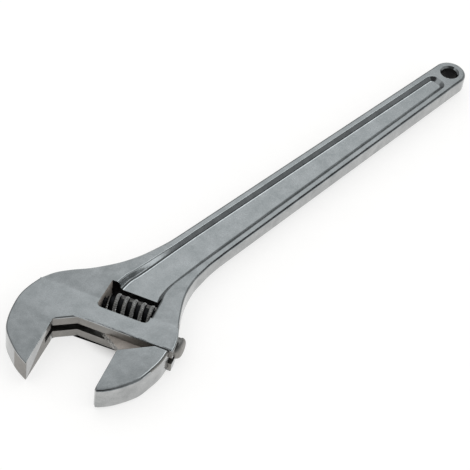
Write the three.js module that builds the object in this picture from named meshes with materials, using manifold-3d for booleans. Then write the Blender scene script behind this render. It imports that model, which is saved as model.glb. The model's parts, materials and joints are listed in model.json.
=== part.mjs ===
// An adjustable wrench: a forged body with its fixed jaw, a movable jaw whose toothed rack slides in a
// bore of the head, and the worm that drives the rack, on its pin and with its spring.
// Millimetres, +Z up. The handle lies along +X and the jaws open towards -X.
import * as THREE from "three";
import { mergeVertices } from "three/addons/utils/BufferGeometryUtils.js";
import Module from "manifold-3d";

const wasm = await Module();
wasm.setup();

// Handle, measured from the head's datum: the corner of the fixed jaw's face and the mouth's base.
const holeDistance = 396.5; // datum to the centre of the hanging hole, along the handle
const gripStart = 125; // where the neck has run out into the straight grip
const gripWidthStart = 34.7;
const gripWidthEnd = 25.2;
const gripThicknessStart = 11.8;
const gripThicknessEnd = 13.4;
const gripEdgeRadius = 1.7;
const panelRim = 5; // flat rim left and right of the sunk panel
const panelDepth = 2.9;
const panelRun = 2.9; // how far the panel's wall leans outward over its depth
const panelEndGap = 12.6; // panel's far end to the centre of the hole
const panelCornerRadius = 2.6;
const upperCornerInset = 6.4; // the panel's upper wall from the window's corner, along the slide
const lowerCornerInset = 2.3;
const holeRadius = 6.3;
const holeRimRadius = 7.6;
const holeRimDepth = 1.5;

// Head and fixed jaw. u runs from the fixed jaw's face to the movable jaw, v from the mouth's base to the tips.
const jawAngle = THREE.MathUtils.degToRad(22.5);
const headOffset = 19.3; // datum above the handle's centre line
const headThickness = 21.4;
const tipThickness = 18.6;
const headEdgeRadius = 1.1;
const jawDepth = 50.4;
const crownReach = 29.3; // the fixed jaw's back behind its face
const throatWidth = 14.2; // the sloped corner between face and mouth base
const throatHeight = 9.2;
const lipLength = 83.4; // datum to the right end of the lips
const neckStart = 20.2; // line behind the mouth base where the flat head ends
const neckReach = 95; // along v from the mouth base to where the neck has its least thickness
const overrun = 6;

// Movable jaw.
const opening = 49.2; // as shown
const closedGap = 0.2;
const movableDepth = 51.5;
const movableReach = 31.8;
const movableThickness = 20.4;
const movableEdgeRadius = 1.5;
const noseRise = 1.9; // the blunt nose beyond the end of the face
const shoulderHeight = 14.3;
const shoulderWidth = 21.4;
const seatGap = 0.3; // running gap between the jaw and the body

// Slot, rack and its bore.
const slotWidth = 6.2;
const slotRunOut = 20.6; // how far up the fixed jaw's face the slot cutter runs out
const webThickness = 5.6;
const webHeight = 8.7; // lower end of the face on the web
const webSlope = 0.6; // rise of the web's front edge for each unit along u
const rackRadius = 7.5;
const rackAxis = 12.8; // below the mouth base
const rackStart = 31;
const rackEnd = 86.3;
const rackChamfer = 0.8;
const rackEndRound = 3.2; // rounding of the rack's far end
const boreGap = 0.3;
const boreEndGap = 1.3; // past the rack's end when the jaws are closed

// Worm, its window, pin and spring.
const pitch = 6.2;
const wormRadius = 10.5;
const wormLength = 32.4;
const threadDepth = 3.9;
const threadCrest = 2.5;
const flankAngle = THREE.MathUtils.degToRad(10);
const meshDepth = 3.5; // the thread's reach into the rack
const meshGap = 0.35; // along the rack, on each flank
const crestPlace = 30.96; // a crest on the top line of the worm at rest
const wormSideGap = 3.2; // window's handle side to the thread
const wormFrontGap = 2.5; // window's jaw side to the thread
const windowStart = 21.3;
const windowEnd = 58.2;
const windowNearRadius = 3.6; // corners on the jaw side
const windowFarRadius = 0.6; // corners on the handle side
const endGap = 0.3;
const pinRadius = 3.6;
const pinHold = 8.6; // the pin's seat beyond the window's left wall
const pinSink = 1.2; // the pin's slotted end below the head's side
const pinSlotWidth = 1.2;
const pinSlotDepth = 1.4;
const pinSeatInset = 5.8; // head's side at the pin, short of the lips' right end
const pinGap = 0.3;
const pocketRadius = 5.5; // spring pocket in the worm's left end
const pocketDepth = 9;
const springWire = 0.9;
const springGap = 0.3;
const springTurns = 5;

// Worked out from the sizes above.
const rackOuter = rackAxis + rackRadius;
const wormAxis = rackOuter - meshDepth + wormRadius;
const windowNear = wormAxis - wormRadius - wormFrontGap;
const windowFar = wormAxis + wormRadius + wormSideGap;
const wormEnd = windowEnd - endGap;
const wormStart = wormEnd - wormLength;
const rootRadius = wormRadius - threadDepth;
const pinSeat = lipLength - pinSeatInset;
const noseDepth = movableDepth - noseRise;
const gripEnd = holeDistance;
const panelEnd = holeDistance - panelEndGap;

// A point of the head's plane, from u and v to x and y.
const slide = new THREE.Vector2(Math.sin(jawAngle), -Math.cos(jawAngle));
const reach = new THREE.Vector2(-Math.cos(jawAngle), -Math.sin(jawAngle));
function at(u, v) {
  return new THREE.Vector2(0, headOffset).addScaledVector(slide, u).addScaledVector(reach, v);
}

// The frame whose local Y runs along u and whose local X runs along v, on the line v = -below.
function alongSlide(below) {
  const origin = at(0, -below);
  return new THREE.Matrix4()
    .makeBasis(
      new THREE.Vector3(reach.x, reach.y, 0),
      new THREE.Vector3(slide.x, slide.y, 0),
      new THREE.Vector3(0, 0, 1),
    )
    .setPosition(origin.x, origin.y, 0);
}

// Closed geometry to a solid for joining and cutting.
function solid(geometry) {
  const bare = geometry.index ? geometry.toNonIndexed() : geometry.clone();
  bare.deleteAttribute("normal");
  bare.deleteAttribute("uv");
  const merged = mergeVertices(bare, 1e-4);
  return new wasm.Manifold(
    new wasm.Mesh({
      numProp: 3,
      vertProperties: merged.attributes.position.array,
      triVerts: new Uint32Array(merged.index.array),
    }),
  );
}

function meshOf(name, made, material) {
  const m = made.getMesh();
  const geometry = new THREE.BufferGeometry();
  geometry.setAttribute("position", new THREE.BufferAttribute(m.vertProperties, m.numProp));
  geometry.setIndex(new THREE.BufferAttribute(m.triVerts, 1));
  geometry.computeVertexNormals();
  const mesh = new THREE.Mesh(geometry, material);
  mesh.name = name;
  return mesh;
}

// Rings of equal count joined into one closed skin, with flat fans at both ends.
function loft(rings) {
  const count = rings[0].length;
  const centres = [rings[0], rings[rings.length - 1]].map((ring) =>
    ring.reduce((sum, p) => sum.add(p), new THREE.Vector3()).divideScalar(count),
  );
  const points = [...rings.flat(), ...centres];
  const faces = [];
  for (let k = 0; k + 1 < rings.length; k++) {
    for (let i = 0; i < count; i++) {
      const a = k * count + i;
      const b = k * count + ((i + 1) % count);
      faces.push(a, b, b + count, a, b + count, a + count);
    }
  }
  const last = (rings.length - 1) * count;
  for (let i = 0; i < count; i++) {
    const j = (i + 1) % count;
    faces.push(points.length - 2, j, i, points.length - 1, last + i, last + j);
  }
  const geometry = new THREE.BufferGeometry().setFromPoints(points);
  geometry.setIndex(faces);
  const made = solid(geometry);
  if (made.volume() > 0) return made;
  const turned = [];
  for (let i = 0; i < faces.length; i += 3) turned.push(faces[i], faces[i + 2], faces[i + 1]);
  geometry.setIndex(turned);
  return solid(geometry);
}

// An outline of the head's plane, made a plate about the middle of the thickness.
function plate(outline, thickness, edge = 0) {
  const geometry = new THREE.ExtrudeGeometry(new THREE.Shape(outline), {
    depth: thickness - 2 * edge,
    bevelEnabled: edge > 0,
    bevelThickness: edge,
    bevelSize: edge,
    bevelOffset: -edge,
    bevelSegments: 2,
    curveSegments: 8,
  });
  return geometry.translate(0, 0, edge - thickness / 2);
}

// A bar, bore or ring along the slide, from pairs of radius and place along u.
function turned(below, profile, sides = 32) {
  const lathe = new THREE.LatheGeometry(
    profile.map(([radius, u]) => new THREE.Vector2(radius, u)),
    sides,
  );
  return solid(lathe.applyMatrix4(alongSlide(below)));
}

function smooth(points, perSpan) {
  return new THREE.SplineCurve(points).getPoints((points.length - 1) * perSpan);
}

// The jaws get thinner from the mouth's base to their tips.
function thinToTip(geometry, base, depth) {
  const p = geometry.attributes.position;
  for (let i = 0; i < p.count; i++) {
    const v = p.getX(i) * reach.x + (p.getY(i) - headOffset) * reach.y;
    const share = THREE.MathUtils.clamp(v / depth, 0, 1);
    p.setZ(i, p.getZ(i) * THREE.MathUtils.lerp(1, tipThickness / base, share));
  }
  return geometry;
}

// Back of the fixed jaw, from its tip round to the neck: shares of crownReach and jawDepth.
const crownShares = [
  [0, 1],
  [-0.3, 0.9],
  [-0.587, 0.76],
  [-0.83, 0.6],
  [-0.945, 0.423],
  [-1, 0.194],
  [-1, -0.026],
  [-0.918, -0.22],
];
const crownEndShare = -0.792;
const crown = crownShares.map(([u, v]) => at(u * crownReach, v * jawDepth));
const crownEnd = at(crownEndShare * crownReach, -neckStart);

// Right end of the head, from the lips down to the neck: shares of lipLength and neckStart.
const sideShares = [
  [1, -0.2],
  [0.99, -0.52],
  [0.975, -0.75],
];
const sideEndShare = 0.954;
const side = sideShares.map(([u, v]) => at(u * lipLength, v * neckStart));
const sideEnd = at(sideEndShare * lipLength, -neckStart);

function headBlock() {
  const outline = [
    ...smooth([...crown, crownEnd], 3),
    sideEnd,
    ...smooth([...side].reverse(), 2),
    at(lipLength, 0),
    at(throatWidth, 0),
    at(0, throatHeight),
  ];
  const skin = plate(outline, headThickness, headEdgeRadius);
  const cutBack = plate(
    [
      at(-crownReach * 2, -neckStart),
      at(lipLength * 2, -neckStart),
      at(lipLength * 2, -neckStart - overrun),
      at(-crownReach * 2, -neckStart - overrun),
    ],
    headThickness + overrun,
  );
  return solid(thinToTip(skin, headThickness, jawDepth)).subtract(solid(cutBack));
}

// The two edges of the neck, from the flat head to the grip: shares of gripStart along x and of the
// width that the edge has where it leaves the head.
const upperNeckShares = [
  [0.165, 0.953],
  [0.247, 0.848],
  [0.33, 0.712],
  [0.414, 0.605],
  [0.498, 0.516],
  [0.584, 0.452],
  [0.664, 0.412],
  [0.824, 0.369],
];
const lowerNeckShares = [
  [0.439, 0.892],
  [0.514, 0.739],
  [0.58, 0.62],
  [0.633, 0.545],
  [0.677, 0.497],
  [0.728, 0.452],
  [0.788, 0.422],
  [0.882, 0.387],
];
const upperNeck = [
  crownEnd,
  ...upperNeckShares.map(([x, y]) => new THREE.Vector2(x * gripStart, y * crownEnd.y)),
  new THREE.Vector2(gripStart, gripWidthStart / 2),
];
const lowerNeck = [
  sideEnd,
  ...lowerNeckShares.map(([x, y]) => new THREE.Vector2(x * gripStart, y * sideEnd.y)),
  new THREE.Vector2(gripStart, -gripWidthStart / 2),
];

function gripShare(x) {
  return (x - gripStart) / (gripEnd - gripStart);
}
function gripHalfWidth(x) {
  return THREE.MathUtils.lerp(gripWidthStart, gripWidthEnd, gripShare(x)) / 2;
}
function gripHalfThickness(x) {
  return THREE.MathUtils.lerp(gripThicknessStart, gripThicknessEnd, gripShare(x)) / 2;
}

// Half the thickness of the neck at a distance behind the mouth's base: it falls, and flattens at the grip.
const neckEaseShare = 0.35;
function neckHalfThickness(behind) {
  const share = THREE.MathUtils.clamp((behind - neckStart) / (neckReach - neckStart), 0, 1);
  const eased = share + neckEaseShare * share * (1 - share);
  return THREE.MathUtils.lerp(headThickness, gripThicknessStart, eased) / 2;
}

// One closed section across neck or grip, between two edge points, with round corners. The half
// thickness is given at both edges.
function section(upper, lower, halves, radius) {
  const across = new THREE.Vector2().subVectors(lower, upper);
  const width = across.length();
  across.normalize();
  const ring = [];
  const steps = 4;
  for (let corner = 0; corner < 4; corner++) {
    const nearUpper = corner === 0 || corner === 3;
    const s = nearUpper ? radius : width - radius;
    const half = nearUpper ? halves[0] : halves[1];
    const z = corner < 2 ? half - radius : radius - half;
    for (let k = 0; k <= steps; k++) {
      const a = Math.PI - (corner + k / steps) * (Math.PI / 2);
      const q = upper.clone().addScaledVector(across, s + radius * Math.cos(a));
      ring.push(new THREE.Vector3(q.x, q.y, z + radius * Math.sin(a)));
    }
  }
  return ring;
}

function neckAndGrip() {
  const perSpan = 3;
  const upper = smooth(upperNeck, perSpan);
  const lower = smooth(lowerNeck, perSpan);
  const inner = [upper[0], lower[0]].map((p) => p.clone().addScaledVector(reach, overrun / 2));
  const hidden = headThickness / 2 - headEdgeRadius;
  const behind = (p) => -p.clone().sub(new THREE.Vector2(0, headOffset)).dot(reach);
  const rings = [section(inner[0], inner[1], [hidden, hidden], headEdgeRadius)];
  upper.forEach((p, i) => {
    const halves = [p, lower[i]].map((q) => neckHalfThickness(behind(q)));
    const radius = THREE.MathUtils.lerp(headEdgeRadius, gripEdgeRadius, i / (upper.length - 1));
    rings.push(section(p, lower[i], halves, radius));
  });
  const y = gripHalfWidth(gripEnd);
  const half = gripHalfThickness(gripEnd);
  const ends = [y, -y].map((side) => new THREE.Vector2(gripEnd, side));
  rings.push(section(ends[0], ends[1], [half, half], gripEdgeRadius));
  return loft(rings);
}

// The round end of the grip, and the cutter of its hanging hole.
function aboutHole(profile, sides) {
  const lathe = new THREE.LatheGeometry(
    profile.map(([radius, z]) => new THREE.Vector2(radius, z)),
    sides,
  );
  return solid(lathe.rotateX(Math.PI / 2).translate(holeDistance, 0, 0));
}
function gripRoundEnd() {
  const radius = gripHalfWidth(gripEnd);
  const half = gripThicknessEnd / 2;
  const steps = 4;
  const profile = [[0, -half]];
  for (let k = 0; k <= 2 * steps + 1; k++) {
    const upperHalf = k > steps;
    const a = ((upperHalf ? k - 1 : k) / steps) * (Math.PI / 2) - Math.PI / 2;
    profile.push([
      radius - gripEdgeRadius + gripEdgeRadius * Math.cos(a),
      (upperHalf ? half - gripEdgeRadius : gripEdgeRadius - half) + gripEdgeRadius * Math.sin(a),
    ]);
  }
  profile.push([0, half]);
  return aboutHole(profile, 48);
}
function hangingHole() {
  const half = gripThicknessEnd / 2;
  const top = half + overrun;
  const flare = holeRimRadius + ((holeRimRadius - holeRadius) / holeRimDepth) * overrun;
  return aboutHole(
    [
      [0, -top],
      [flare, -top],
      [holeRadius, holeRimDepth - half],
      [holeRadius, half - holeRimDepth],
      [flare, top],
      [0, top],
    ],
    40,
  );
}

// The sunk panel between the rims, open to the worm's window. Its foot runs from the window's corners
// to the grip: shares of gripStart along x, and of the foot's place on the grip, for both walls.
const upperFootShares = [
  [0.46, 1.08],
  [0.52, 1.04],
  [0.58, 1.02],
  [0.66, 1.01],
  [0.8, 1.01],
];
const lowerFootShares = [
  [0.505, 1.5],
  [0.552, 1.32],
  [0.606, 1.2],
  [0.68, 1.14],
  [0.82, 1.06],
];
const steepShare = 0.45; // slope of the panel's wall at the window, as a share of its slope on the grip
function panelStations() {
  const foot = (x) => gripHalfWidth(x) - panelRim - panelRun;
  const lean = panelRun / panelDepth;
  const mouth = overrun / 2 - windowFar;
  const last = new THREE.Vector2(gripStart, foot(gripStart));
  const wallFoot = (first, shares, side) =>
    smooth([first, ...[...shares, [1, 1]].map(([x, y]) => new THREE.Vector2(x * last.x, side * y * last.y))], 3);
  const upperFoot = wallFoot(at(windowStart + upperCornerInset, mouth), upperFootShares, 1);
  const lowerFoot = wallFoot(at(windowEnd - lowerCornerInset, mouth), lowerFootShares, -1);
  const stations = upperFoot.map((upper, i) => {
    const share = i / (upperFoot.length - 1);
    return {
      upper,
      lower: lowerFoot[i],
      lean: lean * THREE.MathUtils.lerp(steepShare, 1, share * share),
      endLean: 0,
    };
  });
  const across = (x, y, sideLean, endLean = 0) => ({
    upper: new THREE.Vector2(x, y),
    lower: new THREE.Vector2(x, -y),
    lean: sideLean,
    endLean,
  });
  const cornerStart = panelEnd - panelRun - panelCornerRadius;
  stations.push(across(cornerStart, foot(cornerStart), lean));
  const cornerSteps = 3;
  for (let k = 1; k <= cornerSteps; k++) {
    const a = (k / cornerSteps) * (Math.PI / 2);
    const y = foot(cornerStart) - panelCornerRadius * (1 - Math.cos(a));
    const x = cornerStart + panelCornerRadius * Math.sin(a);
    stations.push(across(x, y, lean * Math.cos(a), lean * Math.sin(a)));
  }
  return stations;
}

function panel(side) {
  const high = headThickness / 2 + overrun;
  const rings = panelStations().map(({ upper, lower, lean, endLean }) => {
    const low = gripHalfThickness((upper.x + lower.x) / 2) - panelDepth;
    const rise = high - low;
    return [
      new THREE.Vector3(upper.x, upper.y, side * low),
      new THREE.Vector3(upper.x + endLean * rise, upper.y + lean * rise, side * high),
      new THREE.Vector3(lower.x + endLean * rise, lower.y - lean * rise, side * high),
      new THREE.Vector3(lower.x, lower.y, side * low),
    ];
  });
  return loft(rings);
}

function wormWindow() {
  const corners = [
    [windowStart, -windowNear],
    [windowEnd, -windowNear],
    [windowEnd, -windowFar],
    [windowStart, -windowFar],
  ];
  const outline = corners.flatMap(([u, v]) => {
    const r = v === -windowNear ? windowNearRadius : windowFarRadius;
    const cu = u === windowStart ? windowStart + r : windowEnd - r;
    const cv = v === -windowNear ? -windowNear - r : r - windowFar;
    const quarter = [];
    const turnU = Math.sign(u - cu);
    const turnV = Math.sign(v - cv);
    const firstIsU = turnU * turnV > 0;
    const steps = 5;
    for (let k = 0; k <= steps; k++) {
      const a = ((firstIsU ? steps - k : k) / steps) * (Math.PI / 2);
      quarter.push(at(cu + turnU * r * Math.cos(a), cv + turnV * r * Math.sin(a)));
    }
    return quarter;
  });
  return solid(plate(outline, headThickness + 2 * overrun));
}

// The jaw's slot: a disc cutter's run-out in the fixed jaw, then along the whole mouth base.
const slotBowShare = 0.12;
const travelIn = opening - closedGap;
const boreEnd = rackStart - travelIn - boreEndGap;
function jawSlot() {
  const low = [boreEnd, webHeight - webSlope * opening + webSlope * rackStart - boreEndGap];
  const bow = [
    (low[0] - slotBowShare * slotRunOut) / 2,
    (low[1] + slotRunOut * (1 + slotBowShare)) / 2,
  ];
  const curve = new THREE.QuadraticBezierCurve(at(...low), at(...bow), at(0, slotRunOut));
  const outline = [
    at(boreEnd, -rackAxis),
    ...curve.getPoints(6),
    at(lipLength + overrun, slotRunOut),
    at(lipLength + overrun, -rackAxis),
  ];
  return solid(plate(outline, slotWidth));
}

function wrenchBody() {
  const boreRadius = rackRadius + boreGap;
  const pinHole = pinRadius + pinGap;
  const rackBore = turned(rackAxis, [
    [0, boreEnd],
    [boreRadius, boreEnd],
    [boreRadius, lipLength + overrun],
    [0, lipLength + overrun],
  ]);
  const pinBore = turned(
    wormAxis,
    [
      [0, windowStart - pinHold],
      [pinHole, windowStart - pinHold],
      [pinHole, pinSeat + overrun],
      [0, pinSeat + overrun],
    ],
    24,
  );
  return headBlock()
    .add(neckAndGrip())
    .add(gripRoundEnd())
    .subtract(hangingHole())
    .subtract(panel(1))
    .subtract(panel(-1))
    .subtract(wormWindow())
    .subtract(rackBore)
    .subtract(jawSlot())
    .subtract(pinBore);
}

// Outer edge of the movable jaw, from its tip round to its seat: shares of movableReach and movableDepth.
const movableShares = [
  [0.05, 0.998],
  [0.16, 0.966],
  [0.318, 0.9],
  [0.48, 0.806],
  [0.632, 0.7],
  [0.77, 0.578],
  [0.874, 0.408],
  [0.968, 0.21],
];

function rackTeeth() {
  const grooves = [];
  const half = threadCrest / 2 + meshGap;
  const bottom = rackOuter - meshDepth - meshGap;
  const top = rackOuter + overrun;
  const flare = half + Math.tan(flankAngle) * (top - bottom);
  const lead = pitch / (2 * Math.PI * (wormRadius - meshDepth / 2));
  const firstCrest = crestPlace + pitch / 4;
  for (let u = firstCrest; u < rackEnd - half; u += pitch) {
    const ring = (z) =>
      [
        [u - half, -bottom],
        [u + half, -bottom],
        [u + flare, -top],
        [u - flare, -top],
      ].map(([a, b]) => {
        const q = at(a - lead * z, b);
        return new THREE.Vector3(q.x, q.y, z);
      });
    grooves.push(loft([ring(-rackRadius - overrun), ring(rackRadius + overrun)]));
  }
  return grooves;
}

function movableJaw() {
  const edge = movableShares.map(([u, v]) => at(opening + u * movableReach, v * movableDepth));
  const outline = [
    at(opening, shoulderHeight),
    at(opening, noseDepth),
    ...smooth([...edge, at(opening + movableReach, seatGap)], 2),
    at(opening + shoulderWidth, seatGap),
  ];
  const skin = plate(outline, movableThickness, movableEdgeRadius);
  const head = solid(thinToTip(skin, movableThickness, movableDepth));
  const inside = shoulderWidth / 2;
  const web = plate(
    [
      at(opening, webHeight),
      at(opening, shoulderHeight + movableEdgeRadius),
      at(opening + inside, shoulderHeight + movableEdgeRadius),
      at(opening + movableReach - movableEdgeRadius, seatGap + movableEdgeRadius),
      at(opening + movableReach - movableEdgeRadius, -rackAxis),
      at(rackStart, -rackAxis),
      at(rackStart, webHeight - webSlope * (opening - rackStart)),
    ],
    webThickness,
  );
  const roundSteps = 5;
  const rackTip = Array.from({ length: roundSteps + 1 }, (_, k) => {
    const a = (k / roundSteps) * (Math.PI / 2);
    return [
      rackRadius - rackEndRound * (1 - Math.cos(a)),
      rackEnd - rackEndRound * (1 - Math.sin(a)),
    ];
  });
  const rack = turned(rackAxis, [
    [0, rackStart],
    [rackRadius - rackChamfer, rackStart],
    [rackRadius, rackStart + rackChamfer],
    ...rackTip,
    [0, rackEnd],
  ]);
  return rackTeeth().reduce((made, groove) => made.subtract(groove), head.add(solid(web)).add(rack));
}

// The worm: one right-hand thread on its core, with chamfered ends, the pin's bore and the spring's pocket.
function adjustingWorm() {
  const stepsPerTurn = 24;
  const turns = wormLength / pitch + 2;
  const flank = Math.tan(flankAngle) * (threadDepth + meshGap);
  const half = threadCrest / 2;
  const sunk = rootRadius - meshGap;
  const frame = alongSlide(wormAxis);
  const rings = [];
  const middle = crestPlace + pitch * Math.round((wormStart + wormEnd - 2 * crestPlace) / (2 * pitch));
  for (let k = 0; k <= turns * stepsPerTurn; k++) {
    const along = pitch * (k / stepsPerTurn - turns / 2);
    const a = Math.PI / 2 - (2 * Math.PI * along) / pitch;
    const place = ([radius, shift]) =>
      new THREE.Vector3(
        radius * Math.cos(a),
        middle + along + shift,
        radius * Math.sin(a),
      ).applyMatrix4(frame);
    rings.push(
      [
        [sunk, -half - flank],
        [wormRadius, -half],
        [wormRadius, half],
        [sunk, half + flank],
      ].map(place),
    );
  }
  const core = turned(wormAxis, [
    [0, wormStart],
    [rootRadius, wormStart],
    [rootRadius, wormEnd],
    [0, wormEnd],
  ]);
  const chamfer = threadDepth / 3;
  const envelope = turned(wormAxis, [
    [0, wormStart],
    [wormRadius - chamfer, wormStart],
    [wormRadius + meshGap, wormStart + chamfer],
    [wormRadius + meshGap, wormEnd - chamfer],
    [wormRadius - chamfer, wormEnd],
    [0, wormEnd],
  ]);
  const hole = pinRadius + pinGap;
  const bore = turned(
    wormAxis,
    [
      [0, wormStart - overrun],
      [pocketRadius, wormStart - overrun],
      [pocketRadius, wormStart + pocketDepth],
      [hole, wormStart + pocketDepth],
      [hole, wormEnd + overrun],
      [0, wormEnd + overrun],
    ],
    32,
  );
  return loft(rings).add(core).intersect(envelope).subtract(bore);
}

function wormPin() {
  const start = windowStart - pinHold + endGap;
  const end = pinSeat - pinSink;
  const chamfer = pinSlotWidth / 2;
  const shank = turned(
    wormAxis,
    [
      [0, start],
      [pinRadius - chamfer, start],
      [pinRadius, start + chamfer],
      [pinRadius, end - chamfer],
      [pinRadius - chamfer, end],
      [0, end],
    ],
    32,
  );
  const slot = plate(
    [
      at(end - pinSlotDepth, pinRadius - wormAxis + overrun),
      at(end + overrun, pinRadius - wormAxis + overrun),
      at(end + overrun, -wormAxis - pinRadius - overrun),
      at(end - pinSlotDepth, -wormAxis - pinRadius - overrun),
    ],
    pinSlotWidth,
  );
  return shank.subtract(solid(slot));
}

// The spring between the window's wall and the bottom of the worm's pocket, as one unbroken tube.
function wormSpring() {
  const wire = springWire / 2;
  const coil = pocketRadius - springGap - wire;
  const start = windowStart + springGap + wire;
  const end = wormStart + pocketDepth - springGap - wire;
  const steps = 12;
  const sides = 8;
  const frame = alongSlide(wormAxis);
  const rings = [];
  const total = springTurns * steps;
  const rise = end - start;
  for (let k = 0; k <= total; k++) {
    const a = (2 * Math.PI * k) / steps;
    const ring = [];
    for (let i = 0; i < sides; i++) {
      const b = (2 * Math.PI * i) / sides;
      const radius = coil + wire * Math.cos(b);
      const u = start + (rise * k) / total + wire * Math.sin(b);
      ring.push(new THREE.Vector3(radius * Math.cos(a), u, radius * Math.sin(a)).applyMatrix4(frame));
    }
    rings.push(ring);
  }
  console.log("spring: least gap between turns " + leastGap(rings, steps / 2).toFixed(2) + " mm");
  return loft(rings);
}

// Least distance between points of rings that are at least so many rings apart.
function leastGap(rings, apart) {
  let least = Infinity;
  rings.forEach((ring, k) => {
    const others = rings.slice(k + apart).flat();
    ring.forEach((p) => others.forEach((q) => (least = Math.min(least, p.distanceTo(q)))));
  });
  return least;
}

const forgedSteel = new THREE.MeshStandardMaterial({ color: 0xa9adae, roughness: 0.34, metalness: 1 });
const jawSteel = new THREE.MeshStandardMaterial({ color: 0xa3a7a9, roughness: 0.32, metalness: 1 });
const wormSteel = new THREE.MeshStandardMaterial({ color: 0xb9b5b0, roughness: 0.28, metalness: 1 });
const pinSteel = new THREE.MeshStandardMaterial({ color: 0x8b8d8e, roughness: 0.38, metalness: 1 });
const springSteel = new THREE.MeshStandardMaterial({ color: 0x77797a, roughness: 0.4, metalness: 1 });

const wrench = new THREE.Group();
wrench.add(meshOf("wrench_body", wrenchBody(), forgedSteel));
wrench.add(meshOf("movable_jaw", movableJaw(), jawSteel));
wrench.add(meshOf("adjusting_worm", adjustingWorm(), wormSteel));
wrench.add(meshOf("worm_pin", wormPin(), pinSteel));
wrench.add(meshOf("worm_spring", wormSpring(), springSteel));

// The wrench lies on the flat of its head, centred on its own box.
const box = new THREE.Box3().setFromObject(wrench);
const centre = box.getCenter(new THREE.Vector3());
wrench.position.set(-centre.x, -centre.y, -box.min.z);

export default wrench;
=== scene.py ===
# An adjustable wrench in satin chrome, lying on a white studio table.
# Pieces are modelled in millimetres from the handle's axis and brought into the frame at the end.
import bpy
import bmesh
import json
import math
from mathutils import Matrix, Vector


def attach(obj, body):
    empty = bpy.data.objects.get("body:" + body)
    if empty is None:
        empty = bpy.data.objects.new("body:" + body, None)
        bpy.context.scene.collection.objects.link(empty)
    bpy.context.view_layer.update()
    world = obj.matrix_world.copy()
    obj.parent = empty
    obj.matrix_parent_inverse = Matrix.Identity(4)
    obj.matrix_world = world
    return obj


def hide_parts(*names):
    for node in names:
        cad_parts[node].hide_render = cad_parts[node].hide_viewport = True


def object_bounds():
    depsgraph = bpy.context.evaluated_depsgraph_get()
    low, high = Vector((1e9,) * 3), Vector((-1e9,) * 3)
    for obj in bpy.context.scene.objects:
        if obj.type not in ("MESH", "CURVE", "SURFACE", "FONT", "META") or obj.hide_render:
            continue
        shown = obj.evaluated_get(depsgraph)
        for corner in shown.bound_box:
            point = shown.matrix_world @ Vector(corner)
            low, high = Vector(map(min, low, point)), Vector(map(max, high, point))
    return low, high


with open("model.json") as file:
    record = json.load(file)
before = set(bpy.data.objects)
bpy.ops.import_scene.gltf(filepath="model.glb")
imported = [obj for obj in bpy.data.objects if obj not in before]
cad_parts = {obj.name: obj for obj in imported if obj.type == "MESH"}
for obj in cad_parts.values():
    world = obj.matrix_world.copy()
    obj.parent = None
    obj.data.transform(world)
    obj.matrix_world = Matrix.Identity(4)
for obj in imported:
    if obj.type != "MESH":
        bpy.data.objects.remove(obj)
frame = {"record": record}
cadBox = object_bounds()

# Directions and datum from the frame: u runs from the fixed jaw to the movable one, v out to the tips.
mounts = {m["name"]: m for m in frame["record"]["mounts"]}
jawFace = mounts["fixed_jaw_face"]
slide = Vector(jawFace["axis"])
reach = Vector((slide.y, -slide.x, 0))

head = {
    "offset": 19.3,           # datum above the handle's axis
    "faceMount": 35,          # the jaw face's mount, out from the datum
    "thickness": 21.4,
    "tipThickness": 18.6,
    "edge": 1.2,              # rounding of crown and lips
    "faceEdge": 0.25,
    "taperStart": 12,         # the jaws' thinning sets in softly over this stretch
    "taperSteps": 6,
    "jawDepth": 50.4,
    "crownReach": 29.3,
    "throat": (14.2, 9.2),    # sloped corner between jaw face and mouth base
    "lip": 83.4,              # right end of the lips
    "back": 20.2,             # line where the flat of the head ends
    # Outlines as shares: the crown's of crownReach and jawDepth, the side's of lip and back
    "crown": [(0, 1), (-0.3, 0.9), (-0.587, 0.76), (-0.83, 0.6), (-0.945, 0.423), (-1, 0.194),
              (-1, -0.026), (-0.918, -0.22)],
    "crownEnd": -0.792,
    "side": [(1, -0.2), (0.99, -0.52), (0.975, -0.75)],
    "sideEnd": 0.954,
}
mm = 0.001
weld = 0.001                  # vertices nearer than this, in mm, are one
overrun = 6                   # cutters reach this far past what they cut
datum = Vector(jawFace["pos_m"]) - reach * head["faceMount"] * mm
toFrame = Matrix.Translation(datum - Vector((0, head["offset"] * mm, 0))) @ Matrix.Scale(mm, 4)


def at(u, v, z=0):
    return Vector((0, head["offset"], z)) + slide * u + reach * v


def uv(p):
    q = p - Vector((0, head["offset"], p.z))
    return q.dot(slide), q.dot(reach)


def flowing(points, steps):  # a smooth line through the points
    line = []
    last = len(points) - 1
    for i in range(last):
        a, b, c, d = (points[min(max(i + k, 0), last)] for k in (-1, 0, 1, 2))
        for k in range(steps):
            t = k / steps
            m0, m1 = (c - a) / 2, (d - b) / 2
            line.append((2 * b - 2 * c + m0 + m1) * t**3 + (3 * c - 3 * b - 2 * m0 - m1) * t**2 + m0 * t + b)
    return line + [points[-1]]


def mix(a, b, t):
    return a + (b - a) * t


def linked(name, bm):
    mesh = bpy.data.meshes.new(name)
    bm.to_mesh(mesh)
    bm.free()
    made = bpy.data.objects.new(name, mesh)
    bpy.context.scene.collection.objects.link(made)
    return made


def objectOf(name, bm):
    bmesh.ops.remove_doubles(bm, verts=bm.verts, dist=weld)
    bmesh.ops.triangulate(bm, faces=bm.faces)
    bmesh.ops.recalc_face_normals(bm, faces=bm.faces)
    if bm.calc_volume(signed=True) < 0:
        bmesh.ops.reverse_faces(bm, faces=bm.faces)
    return linked(name, bm)


def combine(piece, tool, operation):
    change = piece.modifiers.new("combine", "BOOLEAN")
    change.object = tool
    change.operation = operation
    change.solver = "EXACT"
    evaluated = piece.evaluated_get(bpy.context.evaluated_depsgraph_get())
    mesh = bpy.data.meshes.new_from_object(evaluated)
    piece.modifiers.clear()
    piece.data = mesh
    bpy.data.objects.remove(tool)
    return piece


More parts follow.
